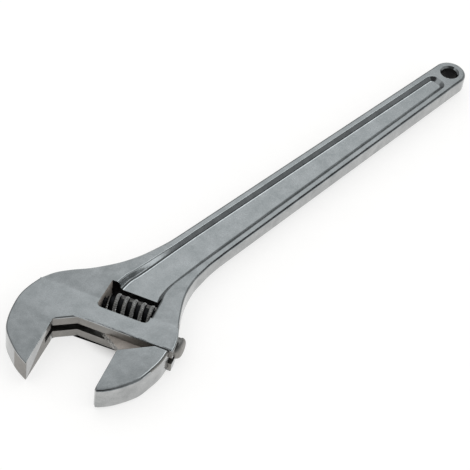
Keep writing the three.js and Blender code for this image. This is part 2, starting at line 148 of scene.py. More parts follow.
def slab(outline, low, high):  # a flat outline given a thickness
    bm = bmesh.new()
    base = bm.faces.new([bm.verts.new((p.x, p.y, low)) for p in outline])
    top = bmesh.ops.extrude_face_region(bm, geom=[base])["geom"]
    rising = [v for v in top if isinstance(v, bmesh.types.BMVert)]
    bmesh.ops.translate(bm, verts=rising, vec=(0, 0, high - low))
    bmesh.ops.recalc_face_normals(bm, faces=bm.faces)
    return bm


def cutAcross(bm, spot, normal, drop=False):  # new edges in a plane, and the part before it dropped if asked
    bmesh.ops.bisect_plane(bm, geom=bm.verts[:] + bm.edges[:] + bm.faces[:], plane_co=spot, plane_no=normal,
                           clear_inner=drop)


def roundEdges(bm, edges, size, segments):
    bmesh.ops.bevel(bm, geom=list(dict.fromkeys(edges)), offset=size, offset_type="OFFSET", affect="EDGES",
                    segments=segments, profile=0.5, material=-1, clamp_overlap=False)
    bm.normal_update()


def rims(bm, wanted):  # edges between a flat and a wall, where wanted(u, v) holds at the middle
    found = []
    for e in bm.edges:
        if len(e.link_faces) == 2:
            level = sorted(abs(f.normal.z) for f in e.link_faces)
            if level[0] < 0.5 < level[1] and wanted(*uv((e.verts[0].co + e.verts[1].co) / 2)):
                found.append(e)
    return found


def corners(bm, wanted):  # upright edges
    found = []
    for e in bm.edges:
        a, b = (v.co for v in e.verts)
        if (a - b).xy.length < weld and e.calc_face_angle(0) > 0.4 and wanted(*uv(a)):
            found.append(e)
    return found


def thinned(bm, depth, thickness):  # the jaws get thinner towards their tips, after a soft start
    start = head["taperStart"]
    for k in range(head["taperSteps"] + 1):
        cutAcross(bm, at(0, start * k / head["taperSteps"]), reach)
    for v in bm.verts:
        out = min(max(uv(v.co)[1], 0), depth)
        fall = out**2 / (2 * start) if out < start else out - start / 2
        v.co.z *= mix(1, head["tipThickness"] / thickness, fall / (depth - start / 2))
    bm.normal_update()


def turned(below, profile, sides):  # a round bar or bore along the slide, from (radius, u) pairs
    bm = bmesh.new()
    line = [bm.verts.new(at(u, -below, radius)) for radius, u in profile]
    edges = [bm.edges.new(pair) for pair in zip(line, line[1:])]
    bmesh.ops.spin(bm, geom=line + edges, cent=at(0, -below), axis=slide, angle=2 * math.pi, steps=sides,
                   use_merge=True)
    bmesh.ops.remove_doubles(bm, verts=bm.verts, dist=weld)
    bmesh.ops.recalc_face_normals(bm, faces=bm.faces)
    return bm


def finishPiece(piece, node, body, materials, sharp=35, finishAndPaintedLight=None):
    piece.data.materials.clear()
    for m in materials:
        piece.data.materials.append(m)
    # The zones give real finishes and also painted shade, painted light and painted glints
    if finishAndPaintedLight:
        for face in piece.data.polygons:
            face.material_index = finishAndPaintedLight(*uv(face.center), face.center.z, face.normal)
    piece.data.transform(toFrame)
    piece.data.shade_smooth()
    piece.data.set_sharp_from_angle(angle=math.radians(sharp))
    even = piece.modifiers.new("even", "WEIGHTED_NORMAL")
    even.keep_sharp = True
    even.weight = 60
    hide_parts(node)
    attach(piece, body)
    print(piece.name, len(piece.data.polygons), "faces")
    return piece


# Materials

def linear(hexColour, alpha=1.0):
    out = []
    for i in (1, 3, 5):
        c = int(hexColour[i:i + 2], 16) / 255
        out.append(c / 12.92 if c <= 0.04045 else ((c + 0.055) / 1.055) ** 2.4)
    return (*out, alpha)


def addNode(tree, kind, settings=None, links=None):
    node = tree.nodes.new(kind)
    for key, value in (settings or {}).items():
        if isinstance(key, str) and hasattr(node, key):
            setattr(node, key, value)
        else:
            node.inputs[key].default_value = value
    for key, source in (links or {}).items():
        tree.links.new(source, node.inputs[key])
    return node


def emptyMaterial(name):
    material = bpy.data.materials.new(name)
    material.use_nodes = True
    material.node_tree.nodes.clear()
    return material, material.node_tree


def fromNoise(tree, noise, low=0.0, high=1.0):  # the noise keeps to the middle of its range
    return addNode(tree, "ShaderNodeMapRange",
                   {"From Min": 0.3, "From Max": 0.7, "To Min": low, "To Max": high},
                   {"Value": noise.outputs["Fac"]}).outputs["Result"]


def metal(name, look):
    material, tree = emptyMaterial(name)
    place = addNode(tree, "ShaderNodeTexCoord")
    cloud = addNode(tree, "ShaderNodeTexNoise",
                    {"Scale": 1 / (look["cloud"] * mm), "Detail": 4.0, "Roughness": 0.6},
                    {"Vector": place.outputs["Object"]})
    grain = addNode(tree, "ShaderNodeTexNoise", {"Scale": 1 / (look["grain"] * mm), "Detail": 2.0},
                    {"Vector": place.outputs["Object"]})
    tint = addNode(tree, "ShaderNodeMix", {"data_type": "RGBA"}, {0: fromNoise(tree, cloud)})
    tint.inputs[6].default_value = linear(look["dark"])
    tint.inputs[7].default_value = linear(look["light"])
    colour = addNode(tree, "ShaderNodeMix", {"data_type": "RGBA", "blend_type": "MULTIPLY"},
                     {6: tint.outputs[2], 7: fromNoise(tree, grain, 1 - look["speck"])})
    colour.inputs[0].default_value = 1.0
    waves = addNode(tree, "ShaderNodeBump", {"Strength": 1.0, "Distance": look["waves"] * mm},
                    {"Height": cloud.outputs["Fac"]})
    pits = addNode(tree, "ShaderNodeBump", {"Strength": 1.0, "Distance": look["pits"] * mm},
                   {"Height": grain.outputs["Fac"], "Normal": waves.outputs["Normal"]})
    rough = fromNoise(tree, cloud, *look["roughness"])
    shader = addNode(tree, "ShaderNodeBsdfPrincipled", {"Metallic": look.get("metallic", 1.0)},
                     {"Base Color": colour.outputs[2], "Roughness": rough, "Normal": pits.outputs["Normal"]})
    addNode(tree, "ShaderNodeOutputMaterial", {}, {"Surface": shader.outputs["BSDF"]})
    return material


# Sizes in millimetres: cloud and grain are the width of a patch, waves and pits the height of the relief.
# Forged steel, tumbled, then chrome plated: a satin skin with faint clouds and soft waves
satinChrome = metal("satinChromePlate", {
    "dark": "#9ea0a0", "light": "#babbbb", "cloud": 11, "grain": 0.9, "speck": 0.12, "roughness": (0.12, 0.2),
    "waves": 0.08, "pits": 0.01})
# Milled after forging and thinly plated: warmer and a little duller
milledSteel = metal("milledSteel", {
    "dark": "#918f8b", "light": "#a8a5a1", "cloud": 6, "grain": 0.7, "speck": 0.2, "roughness": (0.4, 0.55),
    "waves": 0.05, "pits": 0.02})
# Flat sides of the web and left wall of the window: rubbed oxide under a dull, brownish film of oil, with
# painted light: a light, nearly matt colour that makes these shaded walls bright
oiledSteelPaintedLight = metal("oiledSteelPaintedLight", {
    "dark": "#a39b93", "light": "#bdb5ad", "cloud": 5, "grain": 0.6, "speck": 0.25, "roughness": (0.55, 0.7),
    "waves": 0.05, "pits": 0.03, "metallic": 0.1})
# Painted shade, nearly black: deep in the window, on the hanging hole's wall and between the threads
paintedShadeSteel = metal("paintedShadeSteel", {
    "dark": "#1b1b1c", "light": "#343435", "cloud": 4, "grain": 0.6, "speck": 0.2, "roughness": (0.4, 0.6),
    "waves": 0.05, "pits": 0.03})
# The web's front is left as it was sheared: torn and coarse, its colour from near black to near white is
# painted glints and painted shade on the facets
shearedSteelPaintedGlints = metal("shearedSteelPaintedGlints", {
    "dark": "#2b2824", "light": "#f2efea", "cloud": 1.7, "grain": 0.9, "speck": 0.7, "roughness": (0.2, 0.35),
    "waves": 0.9, "pits": 0.5, "metallic": 0.6})
# Turned steel, knurled and polished by use
turnedSteel = metal("turnedSteel", {
    "dark": "#c6c3bf", "light": "#e2dfdb", "cloud": 3, "grain": 0.5, "speck": 0.25, "roughness": (0.3, 0.42),
    "waves": 0.04, "pits": 0.03})
# Pin and spring are blackened steel, oily and dark
blackenedSteel = metal("blackenedSteel", {
    "dark": "#2c2c2e", "light": "#3c3c3f", "cloud": 3, "grain": 0.4, "speck": 0.1, "roughness": (0.3, 0.45),
    "waves": 0.02, "pits": 0.01})


# Body: head with its fixed jaw, neck, grip and round end in one forging

grip = {
    "hole": 396.5,            # datum to the hanging hole
    "start": 125,
    "width": (34.7, 25.2),
    "thickness": (11.8, 13.4),
    "edge": 1.7,
    "edgeTurn": 65,           # the rounding meets the flat at a faint crease
    "neckReach": 95,          # behind the mouth base, where the neck has its least thickness
    "neckEase": 0.35,
    "join": [(3, 0.06), (0.4, 0.003)],  # how deep the neck starts in the head, and how much smaller there
    "rim": 5,
    "panelDepth": 2.9,
    "panelRun": 2.9,          # lean of the panel's wall over its depth
    "panelEnd": 12.6,         # short of the hole
    "panelCorner": 2.6,
    "upperFootInset": 6.4,
    "lowerFootInset": 2.3,
    "steep": 0.45,            # lean of the panel's walls at the window, against the grip's
    "wallTop": (1.1, 0.5),    # rounding at the top of the panel's wall, by the window and in the grip
    "upperWallFoot": (2.6, 1.1),
    "lowerWallFoot": (0.6, 1.1),
    "holeRadius": 6.3,
    "holeRim": 7.6,
    "holeRimDepth": 1.5,
    # Outlines as shares of start, and of the height at the neck's beginning or at the panel's foot
    "upperNeck": [(0.165, 0.953), (0.247, 0.848), (0.33, 0.712), (0.414, 0.605), (0.498, 0.516),
                  (0.584, 0.452), (0.664, 0.412), (0.824, 0.369)],
    "lowerNeck": [(0.439, 0.892), (0.514, 0.739), (0.58, 0.62), (0.633, 0.545), (0.677, 0.497),
                  (0.728, 0.452), (0.788, 0.422), (0.882, 0.387)],
    "upperFoot": [(0.46, 1.08), (0.52, 1.04), (0.58, 1.02), (0.66, 1.01), (0.8, 1.01)],
    "lowerFoot": [(0.505, 1.5), (0.552, 1.32), (0.606, 1.2), (0.68, 1.14), (0.82, 1.06)],
}
window = {"start": 21.3, "end": 58.2, "near": 14.3, "far": 41.0, "corner": 3.6, "farCorner": 0.6, "edge": 0.5}
rack = {"radius": 7.5, "below": 12.8, "start": 31, "end": 86.3, "gap": 0.3, "endGap": 1.3, "chamfer": 0.8,
        "endRound": 3.2, "travel": 49}  # travel: from here to closed jaws
slot = {"width": 6.2, "runOut": 20.6, "bow": 0.12}
pin = {"radius": 3.6, "gap": 0.3, "hold": 8.6, "seat": 77.6, "sink": 1.2, "slotWidth": 1.2, "slotDepth": 1.4,
       "below": 27.3, "clear": 0.3}


def crownLine(steps):
    spots = [at(u * head["crownReach"], v * head["jawDepth"]) for u, v in head["crown"]]
    return flowing(spots + [at(head["crownEnd"] * head["crownReach"], -head["back"])], steps)


def sideLine(steps):
    spots = [at(u * head["lip"], v * head["back"]) for u, v in head["side"]]
    return flowing(spots, steps) + [at(head["sideEnd"] * head["lip"], -head["back"])]


def makeHead():
    outline = crownLine(9) + sideLine(6)[::-1]
    outline += [at(head["lip"], 0), at(head["throat"][0], 0), at(0, head["throat"][1])]
    half = head["thickness"] / 2
    bm = slab(outline, -half, half)
    thinned(bm, head["jawDepth"], head["thickness"])
    onFace = lambda u, v: abs(u) < 0.01 and v > head["throat"][1]
    roundEdges(bm, rims(bm, lambda u, v: not onFace(u, v) and v > 0.5 - head["back"]), head["edge"], 6)
    roundEdges(bm, rims(bm, onFace), head["faceEdge"], 2)
    for v in bm.verts:  # the bevels leave the flats by a few microns
        v.co.z = min(max(v.co.z, -half), half)
    return objectOf("forgedBody", bm)


def gripHalf(x, sizes):
    return mix(*grip[sizes], (x - grip["start"]) / (grip["hole"] - grip["start"])) / 2


def neckHalf(p):
    behind = -uv(p)[1]
    t = min(max((behind - head["back"]) / (grip["neckReach"] - head["back"]), 0), 1)
    t += grip["neckEase"] * t * (1 - t)
    return mix(head["thickness"], grip["thickness"][0], t) / 2


def crossing(line, a, b):  # how far along a to b the line crosses it
    across = (b - a).normalized()
    normal = Vector((-across.y, across.x, 0))
    for p, q in zip(line, line[1:]):
        dp, dq = (p - a).dot(normal), (q - a).dot(normal)
        if dp * dq <= 0 and dp != dq:
            return (mix(p, q, dp / (dp - dq)) - a).dot(across)
    return (line[-1] - a).dot(across)


def curve(start, pull, end, t):
    return start * (1 - t)**2 + pull * 2 * t * (1 - t) + end * t**2


def rounded(a, corner, b, size, steps=4):  # a corner of the profile, eased within that size
    start = corner + (a - corner).normalized() * min(size, (a - corner).length * 0.45)
    end = corner + (b - corner).normalized() * min(size, (b - corner).length * 0.45)
    return [curve(start, corner, end, k / steps) for k in range(steps + 1)]


def section(upper, lower, halves, edge, recess, share):
    # recess: wall top and foot on the upper side, foot and wall top on the lower side, floor height
    # share: how far from the window to the grip
    width = (lower - upper).length
    across = (lower - upper).normalized()
    level = lambda s: mix(*halves, s / width)
    arc = [k / 5 * math.radians(grip["edgeTurn"]) for k in range(6)]
    wide, high = 1 - math.cos(arc[-1]), math.sin(arc[-1])
    corner = [(edge * (1 - math.cos(a)) / wide, edge * (math.sin(a) / high - 1)) for a in arc]
    top1, foot1, foot2, top2, floor = recess
    profile = [Vector((out, halves[0] + fall)) for out, fall in corner]
    spots = [profile[-1]]
    spots += [Vector(p) for p in ((top1, level(top1)), (foot1, floor), (foot2, floor), (top2, level(top2)))]
    spots.append(Vector((width - edge, halves[1])))
    for k in range(1, 5):
        ease = mix(*grip[("wallTop", "upperWallFoot", "lowerWallFoot", "wallTop")[k - 1]], share)
        profile += rounded(spots[k - 1], spots[k], spots[k + 1], ease)
        if k == 2:
            profile.append((spots[2] + spots[3]) / 2)
    profile += [Vector((width - out, halves[1] + fall)) for out, fall in reversed(corner)]
    over = [upper + across * p.x + Vector((0, 0, p.y)) for p in profile]
    return over + [Vector((p.x, p.y, -p.z)) for p in reversed(over)]


def neckAndGripSections():
    start, hole = grip["start"], grip["hole"]
    lean = grip["panelRun"] / grip["panelDepth"]
    footAt = lambda x: gripHalf(x, "width") - grip["rim"] - grip["panelRun"]
    upperNeck = [at(head["crownEnd"] * head["crownReach"], -head["back"])]
    lowerNeck = [at(head["sideEnd"] * head["lip"], -head["back"])]
    upperNeck += [Vector((x * start, y * upperNeck[0].y, 0)) for x, y in grip["upperNeck"]]
    lowerNeck += [Vector((x * start, y * lowerNeck[0].y, 0)) for x, y in grip["lowerNeck"]]
    upperNeck.append(Vector((start, gripHalf(start, "width"), 0)))
    lowerNeck.append(Vector((start, -gripHalf(start, "width"), 0)))
    upper, lower = flowing(upperNeck, 6), flowing(lowerNeck, 6)

    # The panel's two feet, from inside the worm's window to the grip
    mouth = overrun / 2 - window["far"]
    feet = []
    for inset, shares, sign in ((window["start"] + grip["upperFootInset"], grip["upperFoot"], 1),
                                (window["end"] - grip["lowerFootInset"], grip["lowerFoot"], -1)):
        spots = [at(inset, mouth)] + [Vector((x * start, sign * y * footAt(start), 0)) for x, y in shares]
        feet.append([at(inset, 0)] + flowing(spots + [Vector((start, sign * footAt(start), 0))], 6))

    rings = []
    last = len(upper) - 1
    for i, (p, q) in enumerate(zip(upper, lower)):
        halves = [neckHalf(p), neckHalf(q)]
        edge = mix(head["edge"], grip["edge"], i / last)
        slope = lean * mix(grip["steep"], 1, (i / last)**2)
        floor = gripHalf((p.x + q.x) / 2, "thickness") - grip["panelDepth"]
        foot1, foot2 = (crossing(foot, p, q) for foot in feet)
        run = slope * (sum(halves) / 2 - floor)
        rings.append(section(p, q, halves, edge, (foot1 - run, foot1, foot2, foot2 + run, floor), i / last))

    corner, run = grip["panelCorner"], grip["panelRun"]
    centre = hole - grip["panelEnd"] - run - corner
    stops = [mix(start, centre, k / 10) for k in range(1, 11)]
    stops += [centre + (corner + run) * math.sin(k / 10 * math.pi / 2) for k in range(1, 11)]
    stops += [hole - 4, hole]
    for x in stops:
        half, depth = gripHalf(x, "width"), grip["panelDepth"]
        along = max(x - centre, 0)
        middle = footAt(x) - corner
        foot = middle + math.sqrt(max(corner**2 - along**2, 0))
        top = middle + math.sqrt(max((corner + run)**2 - along**2, 0.01))
        rise = min(max(along - corner, 0) / run, 1) * depth
        level = gripHalf(x, "thickness")
        recess = (half - top, half - foot, half + foot, half + top, level - depth + rise)
        side = Vector((x, half, 0)), Vector((x, -half, 0))
        rings.append(section(*side, [level, level], grip["edge"], recess, 1))
    return rings


def makeNeckAndGrip():
    rings = neckAndGripSections()
    bm = bmesh.new()
    middle = sum(rings[0], Vector()) / len(rings[0])
    joined = [[middle + (p - middle) * (1 - shrink) + reach * depth for p in rings[0]]
              for depth, shrink in grip["join"]]
    loops = []
    for ring in joined + rings[1:]:
        spots = [bm.verts.new(p) for p in ring]
        loops.append([bm.edges.new((spots[i], spots[(i + 1) % len(spots)])) for i in range(len(spots))])
    for a, b in zip(loops, loops[1:]):
        bmesh.ops.bridge_loops(bm, edges=a + b)
    bmesh.ops.holes_fill(bm, edges=loops[0], sides=0)
    # The round end: half of the last ring turned about the hanging hole
    half = [e for e in loops[-1] if all(v.co.y > 0.009 for v in e.verts)]
    spun = bmesh.ops.duplicate(bm, geom=half + list({v for e in half for v in e.verts}))["geom"]
    bmesh.ops.spin(bm, geom=spun, cent=(grip["hole"], 0, 0), axis=(0, 0, -1), angle=math.pi, steps=40)
    bmesh.ops.remove_doubles(bm, verts=bm.verts, dist=0.002)
    bmesh.ops.holes_fill(bm, edges=[e for e in bm.edges if e.is_boundary], sides=0)
    bmesh.ops.triangulate(bm, faces=[f for f in bm.faces if len(f.verts) == 4])
    return objectOf("neckAndGrip", bm)


def makeHangingHole():
    top = grip["thickness"][1] / 2
    flare = (grip["holeRim"] - grip["holeRadius"]) / grip["holeRimDepth"]
    wide = grip["holeRim"] + flare * overrun
    deep = top - grip["holeRimDepth"]
    radius, far = grip["holeRadius"], top + overrun
    line = [(0, -far), (wide, -far), (radius, -deep), (radius, deep), (wide, far), (0, far)]
    bm = bmesh.new()
    spots = [bm.verts.new((grip["hole"] + out, 0, z)) for out, z in line]
    edges = [bm.edges.new(pair) for pair in zip(spots, spots[1:])]
    bmesh.ops.spin(bm, geom=spots + edges, cent=(grip["hole"], 0, 0), axis=(0, 0, 1), angle=2 * math.pi,
                   steps=72, use_merge=True)
    return objectOf("holeCutter", bm)


def makeWindow():
    spots = []
    places = ("end", "near"), ("start", "near"), ("start", "far"), ("end", "far")
    for turn, (side, out) in enumerate(places):
        corner = window["corner" if out == "near" else "farCorner"]
        cu = window[side] + (corner if side == "start" else -corner)
        cv = -window[out] + (corner if out == "far" else -corner)
        for k in range(9):
            a = (turn + k / 8) * math.pi / 2
            spots.append(at(cu + corner * math.cos(a), cv + corner * math.sin(a)))
    high, edge = head["thickness"] / 2, window["edge"]
    bm = slab(spots, -high - overrun, high + overrun)
    for side in (1, -1):
        for z in (high - edge, high - edge / 3, high):
            cutAcross(bm, (0, 0, side * z), (0, 0, 1))
    centre = at((window["start"] + window["end"]) / 2, -(window["near"] + window["far"]) / 2)
    wide = (window["end"] - window["start"]) / 2
    for v in bm.verts:
        over = max(abs(v.co.z) - (high - edge), 0) / edge
        spread = edge * (1 - math.sqrt(max(1 - min(over, 1)**2, 0)))
        flat = Vector((v.co.x, v.co.y, 0)) - centre
        v.co += flat.normalized() * spread * flat.length / wide
    return objectOf("windowCutter", bm)


def makeSlot(end, webLow):
    low = Vector((end, webLow))
    sag = slot["bow"] * slot["runOut"]
    bow = Vector(((low.x - sag) / 2, (low.y + slot["runOut"] + sag) / 2))
    top = Vector((0, slot["runOut"]))
    bottom = [tuple(curve(low, bow, top, k / 16)) for k in range(17)]
    right = head["lip"] + overrun
    outline = [(end, -rack["below"])] + bottom + [(right, slot["runOut"]), (right, -rack["below"])]
    half = slot["width"] / 2
    return objectOf("slotCutter", slab([at(u, v) for u, v in outline], -half, half))


def makeBody(webLow):
    body = makeHead()
    combine(body, makeNeckAndGrip(), "UNION")
    combine(body, makeHangingHole(), "DIFFERENCE")
    combine(body, makeWindow(), "DIFFERENCE")
    end = rack["start"] - rack["travel"] - rack["endGap"]
    combine(body, makeSlot(end, webLow), "DIFFERENCE")
    bore, far = rack["radius"] + rack["gap"], head["lip"] + overrun
    line = [(0, end), (bore, end), (bore, far), (0, far)]
    combine(body, objectOf("rackBore", turned(rack["below"], line, 96)), "DIFFERENCE")
    hole, start, stop = pin["radius"] + pin["gap"], window["start"] - pin["hold"], pin["seat"] + overrun
    line = [(0, start), (hole, start), (hole, stop), (0, stop)]
    return combine(body, objectOf("pinBore", turned(pin["below"], line, 48)), "DIFFERENCE")


# Movable jaw: its head, the thin web in the slot and the round toothed rack

jaw = {
    "opening": 49.2,
    "depth": 51.5,
    "reach": 31.74,
    "thickness": 20.4,
    "edge": 2.2,
    "faceEdge": 0.35,
    "nose": 49.6,
    "shoulder": (21.4, 14.3),
    "seat": 0.3,
    "webThickness": 5.6,
    "webHeight": 8.7,
    "webSlope": 0.6,
    # Outline as shares of reach and depth
    "outer": [(0.05, 0.998), (0.16, 0.966), (0.318, 0.9), (0.48, 0.806), (0.632, 0.7), (0.77, 0.578),
              (0.874, 0.408), (0.968, 0.21)],
}
# Worm and rack share these; mesh is how deep a crest sits between two teeth, crestPlace the u of one crest
thread = {"pitch": 6.2, "radius": 10.5, "depth": 3.9, "crest": 2.5, "flank": 10, "mesh": 3.5, "gap": 0.35,
          "crestPlace": 30.96}


def makeRackTeeth():
    half = thread["crest"] / 2 + thread["gap"]
    outer = rack["below"] + rack["radius"]
    bottom = outer - thread["mesh"] - thread["gap"]
    top = outer + overrun
    flare = half + math.tan(math.radians(thread["flank"])) * (top - bottom)
    lead = thread["pitch"] / (2 * math.pi * (thread["radius"] - thread["mesh"] / 2))
    deep = rack["radius"] + overrun
    u = thread["crestPlace"] + thread["pitch"] / 4
    bm = bmesh.new()
    while u < rack["end"] - half:
        ends = []
        for z in (-deep, deep):
            shape = [(u - half, bottom), (u + half, bottom), (u + flare, top), (u - flare, top)]
            ends.append([bm.verts.new(at(a - lead * z, -b, z)) for a, b in shape])
        bm.faces.new(ends[0])
        bm.faces.new(ends[1])
        for i in range(4):
            j = (i + 1) % 4
            bm.faces.new((ends[0][i], ends[0][j], ends[1][j], ends[1][i]))
        u += thread["pitch"]
    return objectOf("toothCutter", bm)


def makeJaw():
    opening = jaw["opening"]
    outer = [at(opening + u * jaw["reach"], v * jaw["depth"]) for u, v in jaw["outer"]]
    outline = [at(opening, jaw["shoulder"][1]), at(opening, jaw["nose"])]
    outline += flowing(outer + [at(opening + jaw["reach"], jaw["seat"])], 6)
    outline.append(at(opening + jaw["shoulder"][0], jaw["seat"]))
    half = jaw["thickness"] / 2
    bm = slab(outline, -half, half)
    thinned(bm, jaw["depth"], jaw["thickness"])
    isOuter = lambda u, v: u > opening + 0.5 and v > jaw["seat"] + 0.1 and v > jaw["shoulder"][1] * (
        1 - (u - opening) / jaw["shoulder"][0]) + 0.5
    roundEdges(bm, rims(bm, isOuter), jaw["edge"], 5)
    rest = rims(bm, lambda u, v: not isOuter(u, v)) + corners(bm, lambda u, v: v > 10)
    roundEdges(bm, rest, jaw["faceEdge"], 3)
    piece = objectOf("slidingJaw", bm)
    inset, seat = jaw["edge"], jaw["seat"]
    web = [(opening, jaw["webHeight"]), (opening, jaw["shoulder"][1] + inset),
           (opening + jaw["shoulder"][0] / 2, jaw["shoulder"][1] + inset),
           (opening + jaw["reach"] - inset, seat + inset), (opening + jaw["reach"] - inset, -rack["below"]),
           (rack["start"], -rack["below"]),
           (rack["start"], jaw["webHeight"] - jaw["webSlope"] * (opening - rack["start"]))]
    thick = jaw["webThickness"] / 2
    webShape = slab([at(u, v) for u, v in web], -thick, thick)
    combine(piece, objectOf("web", webShape), "UNION")
    r, c, dome = rack["radius"], rack["chamfer"], rack["endRound"]
    bar = [(0, rack["start"]), (r - c, rack["start"]), (r, rack["start"] + c)]
    for k in range(7):
        a = k / 6 * math.pi / 2
        bar.append((r - dome * (1 - math.cos(a)), rack["end"] - dome * (1 - math.sin(a))))
    bar.append((0, rack["end"]))
    combine(piece, objectOf("bar", turned(rack["below"], bar, 96)), "UNION")
    combine(piece, makeRackTeeth(), "DIFFERENCE")
    return piece


# Adjusting worm: one right-hand thread with a knurled crest

worm = {
    "length": 32.4,
    "knurls": 36,
    "knurlDepth": 0.8,
    "knurlReach": 1.6,        # the grooves run out this far below the crest
    "knurlFlat": 0.3,         # share of the crest between two grooves
    "steps": 6,               # for each knurl
    "pocket": 5.5,
    "pocketDepth": 9,
    "endGap": 0.3,
    "crestRound": 0.6,
    "crestSwell": 0.08,
    "crestEase": 0.1,
    "rootRound": 0.6,
    "rootEase": 0.72,         # of the flank's width, where the rounding at the root ends
    "under": 1.1,             # the crest stays this much inside the running size
    "bright": 1.1,            # and is bright down to this depth, below it the thread takes painted shade
    "proud": 0.01,            # how far the thread's ends stand out of the core's
}


def makeWorm():
    pitch, radius, below = thread["pitch"], thread["radius"] - worm["under"], pin["below"]
    end = window["end"] - worm["endGap"]
    start = end - worm["length"]
    root = thread["radius"] - thread["depth"]
    sunk = root - thread["gap"]
    half = thread["crest"] / 2
    flank = math.tan(math.radians(thread["flank"])) * (radius - sunk)
    turns = math.ceil(worm["length"] / pitch) + 2
    perTurn = worm["knurls"] * worm["steps"]
    middle = thread["crestPlace"] + pitch * round((start + end - 2 * thread["crestPlace"]) / (2 * pitch))
    first = middle - pitch * turns / 2
    soft, foot = worm["crestRound"], root + worm["rootRound"]
    side = [(radius, half - soft), (radius - soft, half + worm["crestEase"]),
            (foot, half + flank * worm["rootEase"]), (sunk, half + flank)]
    shape = [(r, -shift) for r, shift in reversed(side)] + [(radius + worm["crestSwell"], 0)] + side
    bm = bmesh.new()
    ring = [bm.verts.new(at(first + shift, -below, r)) for r, shift in shape]
    edges = [bm.edges.new((ring[i], ring[(i + 1) % len(ring)])) for i in range(len(ring))]
    bm.faces.new(ring)
    axisPoint = at(0, -below)
    made = bmesh.ops.spin(bm, geom=ring + edges, cent=axisPoint, axis=slide, angle=2 * math.pi * turns,
                          dvec=slide * (pitch / perTurn), steps=turns * perTurn, use_duplicate=False)
    lastRing = [v for v in made["geom_last"] if isinstance(v, bmesh.types.BMVert)]
    bmesh.ops.contextual_create(bm, geom=lastRing)
    depth, flat = worm["knurlReach"], worm["knurlFlat"]
    for v in bm.verts:
        out = v.co - axisPoint
        out -= slide * out.dot(slide)
        far = out.length
        if far > radius - depth:
            angle = math.atan2(out.z, out.dot(reach))
            groove = abs((angle * worm["knurls"] / (2 * math.pi)) % 1 - 0.5) * 2
            share = min(max((groove - flat) / (1 - flat), 0), 1)
            cut = worm["knurlDepth"] * share * (far - radius + depth) / depth
            v.co -= out / far * cut
    piece = objectOf("knurledWorm", bm)
    hole, pocket, step = pin["radius"] + pin["gap"], worm["pocket"], start + worm["pocketDepth"]
    core = [(pocket, start), (root, start), (root, end), (hole, end), (hole, step), (pocket, step),
            (pocket, start)]
    combine(piece, objectOf("core", turned(below, core, 90)), "UNION")
    chamfer = thread["depth"] / 3
    clear = radius + thread["gap"]
    first, final, low = start - worm["proud"], end + worm["proud"], radius - chamfer
    hull = [(0, first), (low, first), (clear, start + chamfer), (clear, end - chamfer), (low, final),
            (0, final)]
    return combine(piece, objectOf("envelope", turned(below, hull, 120)), "INTERSECT")


def makePin():
    start, end = window["start"] - pin["hold"] + pin["clear"], pin["seat"] - pin["sink"]
    r, c, below = pin["radius"], pin["slotWidth"] / 2, pin["below"]
    line = [(0, start), (r - c, start), (r, start + c), (r, end - c), (r - c, end), (0, end)]
    piece = objectOf("turnedPin", turned(below, line, 64))
    wide = r + overrun
    cut = [at(end - pin["slotDepth"], wide - below), at(end + overrun, wide - below),
           at(end + overrun, -wide - below), at(end - pin["slotDepth"], -wide - below)]
    return combine(piece, objectOf("pinSlot", slab(cut, -c, c)), "DIFFERENCE")


spring = {"wire": 0.9, "gap": 0.3, "turns": 5, "steps": 40, "sides": 12}


def makeSpring():
    wire = spring["wire"] / 2
    radius = worm["pocket"] - spring["gap"] - wire
    start = window["start"] + spring["gap"] + wire
    end = window["end"] - worm["endGap"] - worm["length"] + worm["pocketDepth"] - spring["gap"] - wire
    centre = at(start, -pin["below"])
    turnAxis = reach.cross(slide)
    bm = bmesh.new()
    made = bmesh.ops.create_circle(bm, cap_ends=True, radius=wire, segments=spring["sides"])
    lie = Matrix((reach, slide, turnAxis)).transposed().to_4x4()
    bmesh.ops.transform(bm, matrix=Matrix.Translation(centre + reach * radius) @ lie, verts=made["verts"])
    steps = spring["turns"] * spring["steps"]
    bmesh.ops.spin(bm, geom=bm.verts[:] + bm.edges[:] + bm.faces[:], cent=centre, axis=slide,
                   dvec=slide * ((end - start) / steps), angle=2 * math.pi * spring["turns"], steps=steps)
    return objectOf("coilSpring", bm)


# Which faces take which of a piece's materials; an ease is how far, in mm, a face may lie off a shape's line

zones = {
    "lineEase": 0.1,          # for the slot and the lips
    "webEase": 0.05,
    "rackEase": 0.5,          # for the bores of rack and pin, over the bar's own radius
    "pinEase": 0.6,
    "windowEase": 0.6,
    "leftEase": 0.5,          # for the window's left wall
    "holeEase": 0.2,
    "slotStart": -12,
    "wall": 0.1,              # a wall's normal leans up or down by less than this
    "dressedFrom": 5,         # the movable jaw's outer edge is eased by hand from here beside its face
    "dressedTo": 21,          # and out to here
}


def bodyFinishAndPaintedLight(u, v, z, normal):  # 1 milled, 2 painted shade, 3 painted light
    level = abs(normal.z)
    spot = at(u, v)
    fromHole = math.hypot(spot.x - grip["hole"], spot.y)
    # The hanging hole's wall takes painted shade
    if level < zones["wall"] and fromHole < grip["holeRadius"] + zones["holeEase"]:
        return 2
    ease = zones["windowEase"]
    if (level < 0.5 and window["start"] - ease < u < window["end"] + ease
            and window["near"] - ease < -v < window["far"] + ease):
        if normal.dot(reach) < -0.7:
            return 0
        # The window's left wall takes painted light, its other walls painted shade
        return 3 if u < window["start"] + zones["leftEase"] and normal.dot(slide) > 0.7 else 2
    line = zones["lineEase"]
    inSlot = abs(z) < slot["width"] / 2 + line and u > zones["slotStart"] and v > -head["back"]
    inBore = any(math.hypot(v + bar["below"], z) < bar["radius"] + zones[key]
                 for bar, key in ((rack, "rackEase"), (pin, "pinEase")))
    onLips = u > -line and -0.5 < v < head["throat"][1] + line and normal.dot(reach) > 0.4
    return int(inSlot or inBore or (onLips and level < zones["wall"]))


